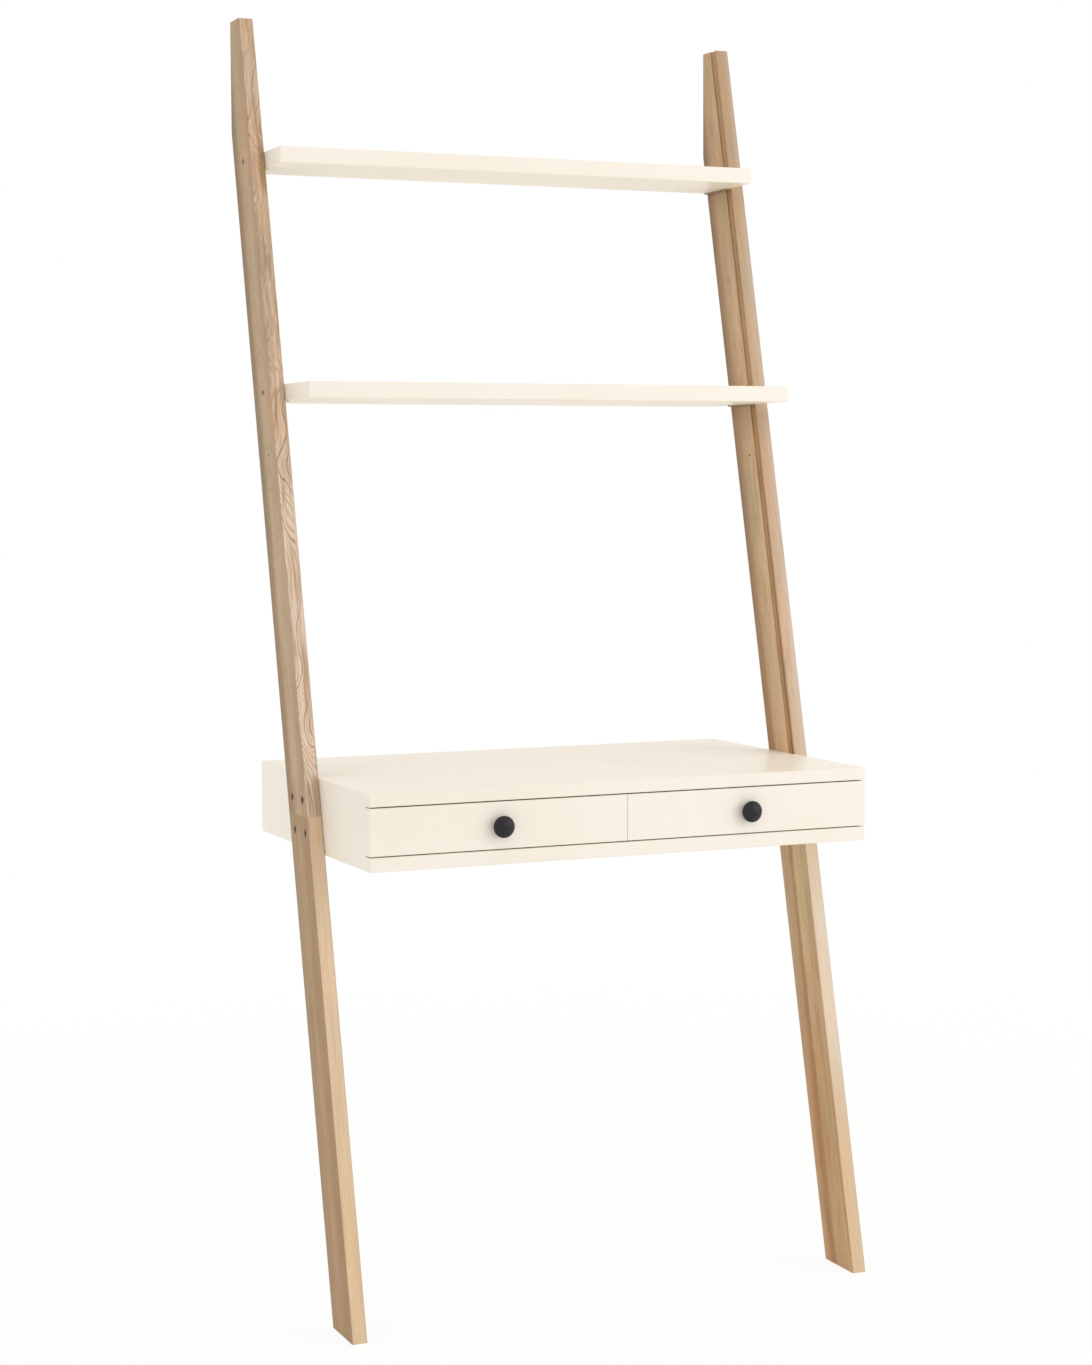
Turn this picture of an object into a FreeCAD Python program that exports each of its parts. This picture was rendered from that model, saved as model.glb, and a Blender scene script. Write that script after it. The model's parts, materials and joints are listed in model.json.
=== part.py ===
import FreeCAD, Part
import math
import os

# A leaning ladder desk: two spliced ash rails that rest on the floor and on a wall, two shelves,
# and a shallow desk whose two drawers run on steel channels with rollers.
#
# Millimetres. +Z is up, +X is to the right of a person seated at the desk, -Y is towards them.
# The origin is on the floor, under the middle of the overall box. The wall is the plane y = wall_y.
# Everything is modelled on the right-hand side and mirrored across x = 0 for the left.

Vector = FreeCAD.Vector

# Overall sizes
overall_height = 1860.0
clear_width = 765.0             # between the two rails
foot_reach = 489.0              # from the wall to the front edge of a foot
rail_top_reach = 42.45          # from the wall to the front edge of a rail's top end

# Rails
rail_thickness = 22.0
rail_depth = 81.0               # square to the lean
rail_edge_radius = 2.0
groove_lip = 2.5                # wood left in front of the groove
groove_width = 14.5
groove_depth = 3.0

# Shelves
shelf_thickness = 23.5
shelf_edge_radius = 1.5
top_shelf_drop = 199.0          # from the top of the rails to the shelf's upper face
top_shelf_overhang = 74.8       # in front of the rails
top_shelf_wall_gap = 14.0
middle_shelf_drop = 540.0
middle_shelf_overhang = 112.4
middle_shelf_wall_gap = 25.0
spare_hole_drop = 91.0          # from the middle shelf's screw down to the lower shelf position
spare_hole_radius = 2.4

# Desk
desk_height = 760.0             # upper face
desk_body_height = 106.5
desk_reach = 518.0              # from the wall to the drawer fronts
desk_wall_gap = 36.0
desk_top_thickness = 18.0
desk_bottom_thickness = 20.0
desk_side_thickness = 18.0
desk_divider_thickness = 18.0
desk_back_thickness = 12.0
desk_edge_radius = 1.5
panel_tongue_width = 6.0        # tongues that join the uprights to the top and bottom panels
panel_tongue_height = 5.0
panel_tongue_stop = 20.0        # from an upright's ends to its tongues

# Drawers
drawer_front_thickness = 16.0
drawer_front_radius = 0.8
drawer_reveal = 1.6             # gap above and below the drawer fronts
drawer_parting = 0.5            # gap between the two drawer fronts
closing_gap = 0.5               # behind a closed drawer front
drawer_box_clearance = 10.25    # above and below the drawer box
drawer_back_gap = 44.0          # between a closed drawer and the desk's back panel
drawer_wall = 12.0
drawer_bottom_thickness = 5.0
drawer_bottom_rise = 5.5        # from a wall's lower edge to the bottom panel
drawer_groove_depth = 6.0
corner_tongue = 6.0             # length and thickness of the tongues at the box's back corners
panel_play = 0.3                # between a panel's edge and the end of its groove

# Knobs
knob_radius = 15.2
knob_projection = 18.0
knob_foot_radius = 8.0
knob_foot_height = 1.2
knob_neck_radius = 6.2
knob_neck_height = 4.0          # from the drawer front to the start of the flare
knob_flare_hollow = 1.1         # how far the flare curves in from a straight cone
knob_rim_thickness = 5.0
knob_rim_bevel = 1.2
knob_rim_low = 8.0              # from the drawer front to the back of the rim

# Roller slides
slide_thickness = 12.7          # gap between a bay's wall and the drawer box
slide_setback = 3.5             # from the front edge of the bay's wall
slide_end_inset = 6.0           # from the back of the drawer
slide_rise = 4.0                # from the drawer's lower edge to the fixed channel
channel_wall = 1.2
channel_bend = 1.5              # outer radius of a fold
channel_gap = 0.5               # between a channel and what slides past it
lift_gap = 0.8                  # above the drawer channel's flange
fixed_flange_reach = 9.0        # upper flange of the fixed channel
foot_flange_reach = 8.0         # flange of the drawer channel under the drawer's side
roller_radius = 9.0
roller_inset = 12.0             # from the end of its channel
roller_running_gap = 0.3        # to the flange that it runs on
roller_clearance = 1.0          # to the flange that it must not touch
axle_radius = 2.5
axle_play = 0.1
axle_head_radius = 4.0
axle_head_thickness = 0.8
axle_end_gap = 1.7              # from an axle's head to the other channel's web

# Fasteners: radius of the head, its height, radius of the shank and its bite in the second piece
desk_bolt = {"head": 6.0, "height": 2.5, "shank": 3.0, "bite": 14.2}
shelf_screw = {"head": 4.0, "height": 2.2, "shank": 2.2, "bite": 30.9}
knob_screw = {"head": 4.0, "height": 2.0, "shank": 2.0, "bite": 10.0}
screw_play = 0.1                # round a shank
head_play = 0.3                 # round a sunk head
end_play = 0.5                  # beyond the end of a shank
knob_end_play = 2.0             # beyond the end of the knob's screw
head_sink = 0.7                 # from the wood's face down to a sunk head

bolt_edge_inset = 16.0          # from the rail's front edge, square to the lean
bolt_spread = 45.0              # between the two bolts of a row, square to the lean
bolt_row_share = 0.216          # of the desk's body height, from the splice to a row of bolts
shelf_screw_inset = 36.0        # from the rail's front edge, square to the lean
bracket_width = 6.5
bracket_thickness = 2.0
bracket_back_inset = 3.0
bracket_play = 0.3              # between a bracket's tongue and the rail's groove
splice_tongue_thickness = 8.0
splice_tongue_width = 34.0
splice_tongue_length = 60.0
splice_play = 0.2               # beyond the edges and ends of a splice tongue

# Places worked out from the sizes above
overall_depth = desk_reach + knob_projection
wall_y = overall_depth / 2
rail_slope = (foot_reach - rail_top_reach) / overall_height
rail_cosine = math.cos(math.atan(rail_slope))
rail_inner_x = clear_width / 2
rail_outer_x = rail_inner_x + rail_thickness
top_shelf_height = overall_height - top_shelf_drop
middle_shelf_height = overall_height - middle_shelf_drop
desk_bottom_z = desk_height - desk_body_height
bay_floor_z = desk_bottom_z + desk_bottom_thickness
bay_ceiling_z = desk_height - desk_top_thickness
splice_z = desk_height - desk_body_height / 2
desk_front_y = wall_y - desk_reach
desk_back_y = wall_y - desk_wall_gap
box_front_y = desk_front_y + drawer_front_thickness
box_back_y = desk_back_y - desk_back_thickness - drawer_back_gap
bay_front_y = box_front_y + closing_gap
bay_inner_x = desk_divider_thickness / 2
bay_outer_x = rail_inner_x - desk_side_thickness
box_inner_x = bay_inner_x + slide_thickness
box_outer_x = bay_outer_x - slide_thickness
bolt_row_offset = desk_body_height * bolt_row_share
box_floor_z = bay_floor_z + drawer_box_clearance
box_top_z = bay_ceiling_z - drawer_box_clearance
front_inner_x = drawer_parting / 2
front_middle_x = (front_inner_x + rail_inner_x) / 2
slide_front_y = bay_front_y + slide_setback
slide_back_y = box_back_y - slide_end_inset
track_z = box_floor_z + slide_rise + channel_wall
rear_roller_z = track_z + roller_running_gap + roller_radius
flange_z = rear_roller_z + roller_radius + roller_clearance
front_roller_z = flange_z - roller_running_gap - roller_radius
channel_top_z = flange_z + channel_wall + lift_gap + channel_wall
roller_width = slide_thickness - 2 * channel_wall - channel_gap - roller_running_gap \
    - axle_head_thickness - axle_end_gap

for form in (desk_bolt, shelf_screw):
    form["length"] = rail_thickness - head_sink - form["height"] + form["bite"]
knob_screw["length"] = drawer_front_thickness + knob_screw["bite"]

ALONG_X = Vector(1, 0, 0)
ALONG_Y = Vector(0, 1, 0)
ALONG_Z = Vector(0, 0, 1)
CUT_MARGIN = 5.0                # how far a cutting tool runs past the wood


# Shared geometry

def rail_y(z, across=0.0):
    """Depth of the line up a rail that lies a distance behind its front edge, at one height."""
    return wall_y - foot_reach + z * rail_slope + across / rail_cosine


def box(x_range, y_range, z_range):
    """A block between two corners, given as its (low, high) range on each axis."""
    size = [high - low for low, high in (x_range, y_range, z_range)]
    return Part.makeBox(*size, Vector(x_range[0], y_range[0], z_range[0]))


def rounded(board, radius, sharp):
    """A board with its edges rounded, apart from those that must stay sharp."""
    return board.makeFillet(radius, [edge for edge in board.Edges if not sharp(edge)])


def front_rounded(board, radius):
    """A board with its edges rounded, apart from those round its back face."""
    back_y = board.BoundBox.YMax
    return rounded(board, radius, lambda edge: edge.BoundBox.YMin > back_y - radius)


def mirrored(shape):
    """The same piece on the other side of the desk."""
    return shape.mirror(Vector(0, 0, 0), ALONG_X)


def both_sides(shapes):
    """Shapes of the right-hand side, followed by their mirror images."""
    return list(shapes) + [mirrored(shape) for shape in shapes]


def rod(radius, start, direction, length):
    """A plain round bar or hole."""
    return Part.makeCylinder(radius, length, start, direction)


def prism(outline, start, run):
    """A straight bar whose section is a closed polygon of points in the plane through start."""
    points = [start + point for point in outline]
    return Part.Face(Part.makePolygon(points + points[:1])).extrude(run)


def profile_face(start, moves):
    """A face in the XZ plane. A move is one (x, z) point for a line, or two for an arc via the first."""
    edges = []
    here = Vector(start[0], 0, start[1])
    for move in moves:
        stops = [Vector(x, 0, z) for x, z in move]
        curve = Part.Arc(here, *stops) if len(stops) == 2 else Part.LineSegment(here, stops[0])
        edges.append(curve.toShape())
        here = stops[-1]
    return Part.Face(Part.Wire(edges))


def turned(face, base, direction):
    """A profile of (radius, height) revolved about its height axis and stood on base."""
    solid = face.revolve(Vector(0, 0, 0), ALONG_Z, 360)
    solid.Placement = FreeCAD.Placement(base, FreeCAD.Rotation(ALONG_Z, direction))
    return solid


# Fasteners

def screw(form, seat, direction):
    """A fastener with a flat head above its seat and a plain shank below it."""
    head, height, shank, length = form["head"], form["height"], form["shank"], form["length"]
    outline = [(0, -height), (head, -height), (head, 0), (shank, 0), (shank, length), (0, length)]
    moves = [(point,) for point in outline[1:] + outline[:1]]
    return turned(profile_face(outline[0], moves), seat, direction)


def shank_hole(form, seat, direction):
    """The hole that a fastener's shank goes into, from its seat to just past its end."""
    return rod(form["shank"] + screw_play, seat, direction, form["length"] + end_play)


def sunk_hole(form, seat, direction):
    """The hole for a fastener's shank, with a counterbore that sinks its head below the wood's face."""
    depth = form["height"] + head_sink + CUT_MARGIN
    return shank_hole(form, seat, direction).fuse(rod(form["head"] + head_play, seat, direction * -1, depth))


def sunk_seat_x(form):
    """Where the head of a fastener sunk into the right-hand rail's outer face sits."""
    return rail_outer_x - head_sink - form["height"]


def desk_bolt_places():
    """Seats of the right-hand rail's bolts: a row above the splice and a row below it."""
    places = []
    for z in (splice_z + bolt_row_offset, splice_z - bolt_row_offset):
        for across in (bolt_edge_inset, bolt_edge_inset + bolt_spread):
            places.append(Vector(sunk_seat_x(desk_bolt), rail_y(z, across), z))
    return places


def shelf_screw_place(shelf_height):
    """Seat of the screw through the right-hand rail into the end of a shelf."""
    z = shelf_height - shelf_thickness / 2
    return Vector(sunk_seat_x(shelf_screw), rail_y(z, shelf_screw_inset), z)


# Rails

def rail_blank(low, high):
    """A length of the right-hand rail between two level cuts, with its long edges rounded."""
    corners = [(rail_y(low), low), (rail_y(high), high)]
    corners += [(rail_y(high, rail_depth), high), (rail_y(low, rail_depth), low)]
    outline = [Vector(0, y, z) for y, z in corners]
    blank = prism(outline, Vector(rail_inner_x, 0, 0), ALONG_X * rail_thickness)
    long_edges = [edge for edge in blank.Edges if edge.BoundBox.ZLength > (high - low) / 2]
    return blank.makeFillet(rail_edge_radius, long_edges)


def wall_cut():
    """Everything behind the wall plane, which trims the top of a rail upright."""
    return box((rail_inner_x - CUT_MARGIN, rail_outer_x + CUT_MARGIN),
               (wall_y, wall_y + foot_reach),
               (splice_z, overall_height + CUT_MARGIN))


def rail_groove():
    """The groove along the inner face of the upper rail, close behind its front edge."""
    low = splice_z - CUT_MARGIN
    high = overall_height + CUT_MARGIN
    back = groove_lip + groove_width
    corners = [(low, groove_lip), (high, groove_lip), (high, back), (low, back)]
    outline = [Vector(0, rail_y(z, across), z) for z, across in corners]
    start = Vector(rail_inner_x - CUT_MARGIN, 0, 0)
    return prism(outline, start, ALONG_X * (groove_depth + CUT_MARGIN))


def splice_tongue(play=0.0):
    """The loose tongue across the right-hand splice, or with play the mortise that it fills."""
    rail_sine = rail_slope * rail_cosine
    along = Vector(0, rail_sine, rail_cosine)
    square = Vector(0, rail_cosine, -rail_sine)
    half_width = splice_tongue_width / 2 + play
    half_length = splice_tongue_length / 2 + play
    middle = Vector(0, rail_y(splice_z, rail_depth / 2), splice_z)
    corners = [(-1, -1), (1, -1), (1, 1), (-1, 1)]
    outline = [middle + square * (half_width * i) + along * (half_length * j) for i, j in corners]
    start = Vector(rail_inner_x + (rail_thickness - splice_tongue_thickness) / 2, 0, 0)
    return prism(outline, start, ALONG_X * splice_tongue_thickness)


def bolt_cuts():
    """Sunk holes for the desk bolts."""
    return [sunk_hole(desk_bolt, place, ALONG_X * -1) for place in desk_bolt_places()]


def shelf_screw_cuts():
    """Sunk holes for both shelves' screws, and the spare hole below the middle shelf."""
    cuts = [sunk_hole(shelf_screw, shelf_screw_place(height), ALONG_X * -1)
            for height in (top_shelf_height, middle_shelf_height)]
    spare_z = shelf_screw_place(middle_shelf_height).z - spare_hole_drop
    start = Vector(rail_inner_x - CUT_MARGIN, rail_y(spare_z, shelf_screw_inset), spare_z)
    cuts.append(rod(spare_hole_radius, start, ALONG_X, rail_thickness + 2 * CUT_MARGIN))
    return cuts


def right_upper_rail():
    """The grooved rail from the splice up to the wall."""
    cuts = [wall_cut(), rail_groove(), splice_tongue(splice_play)] + bolt_cuts() + shelf_screw_cuts()
    return rail_blank(splice_z, overall_height).cut(cuts)


def right_lower_leg():
    """The plain leg from the floor up to the splice."""
    return rail_blank(0.0, splice_z).cut([splice_tongue(splice_play)] + bolt_cuts())


# Shelves

def bracket(shelf_height, wall_gap):
    """A flat steel plate under the end of a shelf, with a tongue that sits in the rail's groove."""
    high = shelf_height - shelf_thickness
    low = high - bracket_thickness
    front = rail_y(high, groove_lip) + bracket_play
    back = min(rail_y(low, rail_depth), wall_y - wall_gap) - bracket_back_inset
    tongue_back = rail_y(low, groove_lip + groove_width) - bracket_play
    plate = box((rail_inner_x - bracket_width, rail_inner_x), (front, back), (low, high))
    tongue_x = (rail_inner_x, rail_inner_x + groove_depth - bracket_play)
    return plate.fuse(box(tongue_x, (front, tongue_back), (low, high))).removeSplitter()


def shelf(height, overhang, wall_gap):
    """A lacquered shelf board, bored at each end for the screw through a rail."""
    board = box((-rail_inner_x, rail_inner_x), (rail_y(height) - overhang, wall_y - wall_gap),
                (height - shelf_thickness, height))
    hole = shank_hole(shelf_screw, shelf_screw_place(height), ALONG_X * -1)
    return front_rounded(board, shelf_edge_radius).cut(both_sides([hole]))


# Desk carcass

def upright(x_range, back_y, play=0.0):
    """A panel that stands between the bottom and the top, with tongues; with play, its tongues' grooves."""
    middle = sum(x_range) / 2
    half = panel_tongue_width / 2
    height = panel_tongue_height + play
    tongues = box((middle - half, middle + half),
                  (bay_front_y + panel_tongue_stop, back_y - panel_tongue_stop),
                  (bay_floor_z - height, bay_ceiling_z + height))
    if play:
        return tongues
    panel = box(x_range, (bay_front_y, back_y), (bay_floor_z, bay_ceiling_z))
    return panel.fuse(tongues).removeSplitter()


def right_side(play=0.0):
    """The side panel that the rail is bolted to, before it is bored."""
    return upright((bay_outer_x, rail_inner_x), desk_back_y, play)


def divider(play=0.0):
    """The panel between the two drawers."""
    return upright((-bay_inner_x, bay_inner_x), desk_back_y - desk_back_thickness, play)


def desk_panel(z_range, seam_z):
    """The top or the bottom panel, grooved for the tongues of the uprights that it meets at its seam."""
    def flush_with_side(edge):
        bounds = edge.BoundBox
        along_seam = bounds.YLength > desk_edge_radius and abs(bounds.ZMin - seam_z) < desk_edge_radius
        up_the_back = bounds.ZLength > desk_edge_radius and bounds.YMax > desk_back_y - desk_edge_radius
        return along_seam or up_the_back

    board = box((-rail_inner_x, rail_inner_x), (desk_front_y, desk_back_y), z_range)
    grooves = both_sides([right_side(panel_play)]) + [divider(panel_play)]
    return rounded(board, desk_edge_radius, flush_with_side).cut(grooves)


def right_desk_side():
    """The side panel bored for the bolts through the rail."""
    return right_side().cut([shank_hole(desk_bolt, place, ALONG_X * -1) for place in desk_bolt_places()])


def desk_back():
    """The panel that closes the desk behind both drawers."""
    return box((-bay_outer_x, bay_outer_x), (desk_back_y - desk_back_thickness, desk_back_y),
               (bay_floor_z, bay_ceiling_z))


# Roller slides. A slide is modelled with its fixed channel against x = 0 and the drawer on its
# +X side, then put on one wall of the right-hand bay.

def on_wall(shape, wall):
    """A slide piece put on the divider ("inner") or on the desk's side ("outer")."""
    if wall == "inner":
        return shape.translated(ALONG_X * bay_inner_x)
    return mirrored(shape).translated(ALONG_X * bay_outer_x)


def channel(start, moves):
    """A rolled channel as long as the slide, from its section."""
    run = ALONG_Y * (slide_back_y - slide_front_y)
    return profile_face(start, moves).extrude(run).translated(ALONG_Y * slide_front_y)


def fold(corner, x_side, z_side, clockwise):
    """The arc of a fold's outer face about a corner, as a move between its two tangent points."""
    ends = [(corner[0] + x_side * channel_bend, corner[1]), (corner[0], corner[1] + z_side * channel_bend)]
    inset = channel_bend * (1 - math.sqrt(0.5))
    via = (corner[0] + x_side * inset, corner[1] + z_side * inset)
    first, last = ends if clockwise else reversed(ends)
    return [(first,), (via, last)]


def axle(web_x, side, y, z):
    """A riveted axle with a head, standing on a channel's web and pointing to one side."""
    reach = channel_gap + roller_width + roller_running_gap
    direction = ALONG_X * side
    head_base = Vector(web_x + side * reach, y, z)
    return rod(axle_radius, Vector(web_x, y, z), direction, reach).fuse(
        rod(axle_head_radius, head_base, direction, axle_head_thickness))


def fixed_channel():
    """The channel on the desk: a track below, a flange above, and an axle for the roller at its front."""
    low = track_z - channel_wall
    track_reach = slide_thickness - channel_wall - channel_gap
    section = channel((track_reach, low), [
        *fold((0, low), 1, 1, True),
        *fold((0, channel_top_z), 1, -1, False),
        ((fixed_flange_reach, channel_top_z),),
        ((fixed_flange_reach, channel_top_z - channel_wall),),
        ((channel_wall, channel_top_z - channel_wall),),
        ((channel_wall, track_z),),
        ((track_reach, track_z),),
        ((track_reach, low),)])
    return section.fuse(axle(channel_wall, 1, slide_front_y + roller_inset, front_roller_z))


def drawer_channel():
    """The channel on the drawer: a foot under its side, a flange that runs on the front roller."""
    web = slide_thickness - channel_wall
    top = flange_z + channel_wall
    reach = channel_wall + channel_gap
    section = channel((slide_thickness + foot_flange_reach, box_floor_z - channel_wall), [
        *fold((web, box_floor_z - channel_wall), 1, 1, True),
        ((web, flange_z),),
        ((reach, flange_z),),
        ((reach, top),),
        *fold((slide_thickness, top), -1, -1, True),
        ((slide_thickness, box_floor_z),),
        ((slide_thickness + foot_flange_reach, box_floor_z),),
        ((slide_thickness + foot_flange_reach, box_floor_z - channel_wall),)])
    return section.fuse(axle(web, -1, slide_back_y - roller_inset, rear_roller_z))


def roller(web_x, side, y, z):
    """A plastic roller on the axle that stands on a channel's web."""
    start = Vector(web_x + side * channel_gap, y, z)
    bore = rod(axle_radius + axle_play, start, ALONG_X * side, roller_width)
    return rod(roller_radius, start, ALONG_X * side, roller_width).cut(bore)


def front_roller():
    """The roller near the front of the fixed channel."""
    return roller(channel_wall, 1, slide_front_y + roller_inset, front_roller_z)


def rear_roller():
    """The roller near the back of the drawer channel."""
    return roller(slide_thickness - channel_wall, -1, slide_back_y - roller_inset, rear_roller_z)


# Drawers

def knob_screw_place():
    """Seat of the knob's screw, on the back of the drawer front and level with the splices."""
    return Vector(front_middle_x, box_front_y, splice_z)


def bottom_groove():
    """The groove round the inside of the drawer that holds the bottom panel."""
    return drawer_bottom(0.0)


def drawer_bottom(play=panel_play):
    """The thin panel that sits in the groove."""
    low = box_floor_z + drawer_bottom_rise
    side_inset = drawer_wall - drawer_groove_depth + play
    return box((box_inner_x + side_inset, box_outer_x - side_inset),
               (box_front_y - drawer_groove_depth + play, box_back_y - side_inset),
               (low, low + drawer_bottom_thickness))


def side_board(wall):
    """A side of the drawer before it is grooved; its front end is housed in the drawer front."""
    low_x = box_inner_x if wall == "inner" else box_outer_x - drawer_wall
    front_y = box_front_y - drawer_groove_depth
    return box((low_x, low_x + drawer_wall), (front_y, box_back_y), (box_floor_z, box_top_z))


def back_board():
    """The drawer's back before it is grooved, with a tongue at each end on its inner half."""
    z_range = (box_floor_z, box_top_z)
    front_y = box_back_y - drawer_wall
    wall = box((box_inner_x + drawer_wall, box_outer_x - drawer_wall), (front_y, box_back_y), z_range)
    reach = drawer_wall - corner_tongue
    tongues = box((box_inner_x + reach, box_outer_x - reach), (front_y, front_y + corner_tongue), z_range)
    return wall.fuse(tongues).removeSplitter()


def drawer_side(wall):
    """A side of the drawer, slotted for the back and grooved for the bottom."""
    return side_board(wall).cut([back_board(), bottom_groove()])


def drawer_front():
    """The lacquered front, which covers the front edge of the desk's side and houses the drawer's sides."""
    board = box((front_inner_x, rail_inner_x), (desk_front_y, box_front_y),
                (bay_floor_z + drawer_reveal, bay_ceiling_z - drawer_reveal))
    cuts = [side_board("inner"), side_board("outer"), bottom_groove()]
    cuts.append(shank_hole(knob_screw, knob_screw_place(), ALONG_Y * -1))
    return front_rounded(board, drawer_front_radius).cut(cuts)


def knob():
    """A mushroom knob: a small foot, a waist that flares into the rim, and a shallow domed cap."""
    rim_high = knob_rim_low + knob_rim_thickness
    rim_edge = knob_radius - knob_rim_bevel
    dome_rise = knob_projection - rim_high
    dome_radius = (rim_edge ** 2 + dome_rise ** 2) / (2 * dome_rise)
    half_angle = math.asin(rim_edge / dome_radius) / 2
    dome_via = (dome_radius * math.sin(half_angle),
                knob_projection - dome_radius * (1 - math.cos(half_angle)))
    flare_reach = rim_edge - knob_neck_radius
    flare_rise = knob_rim_low - knob_neck_height
    inward = knob_flare_hollow / math.hypot(flare_reach, flare_rise)
    flare_via = (knob_neck_radius + flare_reach / 2 - flare_rise * inward,
                 knob_neck_height + flare_rise / 2 + flare_reach * inward)
    face = profile_face((0, 0), [
        ((knob_foot_radius, 0),),
        ((knob_foot_radius, knob_foot_height),),
        ((knob_neck_radius, knob_foot_height + knob_rim_bevel),),
        ((knob_neck_radius, knob_neck_height),),
        (flare_via, (rim_edge, knob_rim_low)),
        ((knob_radius, knob_rim_low + knob_rim_bevel),),
        ((knob_radius, rim_high - knob_rim_bevel),),
        ((rim_edge, rim_high),),
        (dome_via, (0, knob_projection)),
        ((0, 0),)])
    base = Vector(front_middle_x, desk_front_y, splice_z)
    outward = ALONG_Y * -1
    hole = rod(knob_screw["shank"] + screw_play, base, outward, knob_screw["bite"] + knob_end_play)
    return turned(face, base, outward).cut(hole)


# Nodes

def frame_nodes():
    """The rails with the tongues of their splices, and the bolts that join them to the desk."""
    bolts = [screw(desk_bolt, place, ALONG_X * -1) for place in desk_bolt_places()]
    return {
        "right_upper_rail": right_upper_rail(),
        "left_upper_rail": mirrored(right_upper_rail()),
        "right_lower_leg": right_lower_leg(),
        "left_lower_leg": mirrored(right_lower_leg()),
        "splice_tongues": Part.makeCompound(both_sides([splice_tongue()])),
        "desk_bolts": Part.makeCompound(both_sides(bolts))}


def shelf_nodes():
    """Both shelves with their brackets and screws."""
    shelves = [(top_shelf_height, top_shelf_wall_gap), (middle_shelf_height, middle_shelf_wall_gap)]
    brackets = [bracket(height, gap) for height, gap in shelves]
    screws = [screw(shelf_screw, shelf_screw_place(height), ALONG_X * -1) for height, gap in shelves]
    return {
        "top_shelf": shelf(top_shelf_height, top_shelf_overhang, top_shelf_wall_gap),
        "middle_shelf": shelf(middle_shelf_height, middle_shelf_overhang, middle_shelf_wall_gap),
        "shelf_brackets": Part.makeCompound(both_sides(brackets)),
        "shelf_screws": Part.makeCompound(both_sides(screws))}


def desk_nodes():
    """The desk's carcass."""
    return {
        "desk_top_panel": desk_panel((bay_ceiling_z, desk_height), bay_ceiling_z),
        "desk_bottom_panel": desk_panel((desk_bottom_z, bay_floor_z), bay_floor_z),
        "desk_right_side": right_desk_side(),
        "desk_left_side": mirrored(right_desk_side()),
        "desk_divider": divider(),
        "desk_back_panel": desk_back()}


def drawer_nodes():
    """One drawer with its knob and slides, in the right-hand bay."""
    nodes = {
        "drawer_front": drawer_front(),
        "drawer_inner_side": drawer_side("inner"),
        "drawer_outer_side": drawer_side("outer"),
        "drawer_back": back_board().cut(bottom_groove()),
        "drawer_bottom": drawer_bottom(),
        "knob": knob(),
        "knob_screw": screw(knob_screw, knob_screw_place(), ALONG_Y * -1)}
    walls = ("inner", "outer")
    for wall in walls:
        nodes[f"{wall}_fixed_channel"] = on_wall(fixed_channel(), wall)
        nodes[f"{wall}_drawer_channel"] = on_wall(drawer_channel(), wall)
    nodes["front_rollers"] = Part.makeCompound([on_wall(front_roller(), wall) for wall in walls])
    nodes["rear_rollers"] = Part.makeCompound([on_wall(rear_roller(), wall) for wall in walls])
    return nodes


def all_nodes():
    """Every named piece of the desk."""
    nodes = {}
    nodes.update(frame_nodes())
    nodes.update(shelf_nodes())
    nodes.update(desk_nodes())
    for name, shape in drawer_nodes().items():
        nodes[f"right_{name}"] = shape
        nodes[f"left_{name}"] = mirrored(shape)
    return nodes


os.makedirs("parts", exist_ok=True)
for name, shape in all_nodes().items():
    shape.exportStep(os.path.join("parts", name + ".step"))
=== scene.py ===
import json
import math
from collections import namedtuple

import bmesh
import bpy
from mathutils import Matrix, Vector


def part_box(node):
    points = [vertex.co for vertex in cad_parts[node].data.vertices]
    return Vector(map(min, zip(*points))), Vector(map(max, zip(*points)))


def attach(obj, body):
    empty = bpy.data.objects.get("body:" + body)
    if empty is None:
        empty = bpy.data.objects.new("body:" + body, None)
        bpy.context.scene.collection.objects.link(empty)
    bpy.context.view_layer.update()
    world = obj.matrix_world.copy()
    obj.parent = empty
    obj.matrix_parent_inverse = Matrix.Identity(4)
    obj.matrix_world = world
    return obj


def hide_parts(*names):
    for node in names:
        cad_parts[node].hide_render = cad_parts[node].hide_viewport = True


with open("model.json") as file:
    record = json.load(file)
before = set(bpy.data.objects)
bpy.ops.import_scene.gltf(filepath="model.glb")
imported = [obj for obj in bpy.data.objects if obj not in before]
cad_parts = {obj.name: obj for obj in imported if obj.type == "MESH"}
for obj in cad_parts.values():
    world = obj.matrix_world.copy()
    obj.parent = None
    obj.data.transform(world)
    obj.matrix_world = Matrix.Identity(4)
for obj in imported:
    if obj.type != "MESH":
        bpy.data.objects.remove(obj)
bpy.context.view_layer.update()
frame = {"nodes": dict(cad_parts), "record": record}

# Looks, small fasteners, light and camera for the ladder desk. Metres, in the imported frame.

nodes = frame["nodes"]
SIDES = {"right": 1.0, "left": -1.0}
SHELVES = ("top_shelf", "middle_shelf")
DESK_HEIGHT = 1.86

RAIL_SLOPE = 0.240081
RAIL_ANGLE = math.atan(RAIL_SLOPE)
RAIL_COS = math.cos(RAIL_ANGLE)
RAIL_SIN = math.sin(RAIL_ANGLE)
RAIL_THICKNESS = 0.022
RAIL_DEPTH = 0.081
RAIL_OUTER_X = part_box("right_upper_rail")[1][0]
RAIL_MIDDLE_X = RAIL_OUTER_X - RAIL_THICKNESS / 2
RAIL_INNER_X = RAIL_OUTER_X - RAIL_THICKNESS
FOOT_FRONT_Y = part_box("right_lower_leg")[0][1]
SPLICE_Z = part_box("right_upper_rail")[0][2]


def rail_y(z, across):
    """Depth of the line up a rail that lies a distance behind its front edge, at one height."""
    return FOOT_FRONT_Y + z * RAIL_SLOPE + across / RAIL_COS


# Camera

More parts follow.
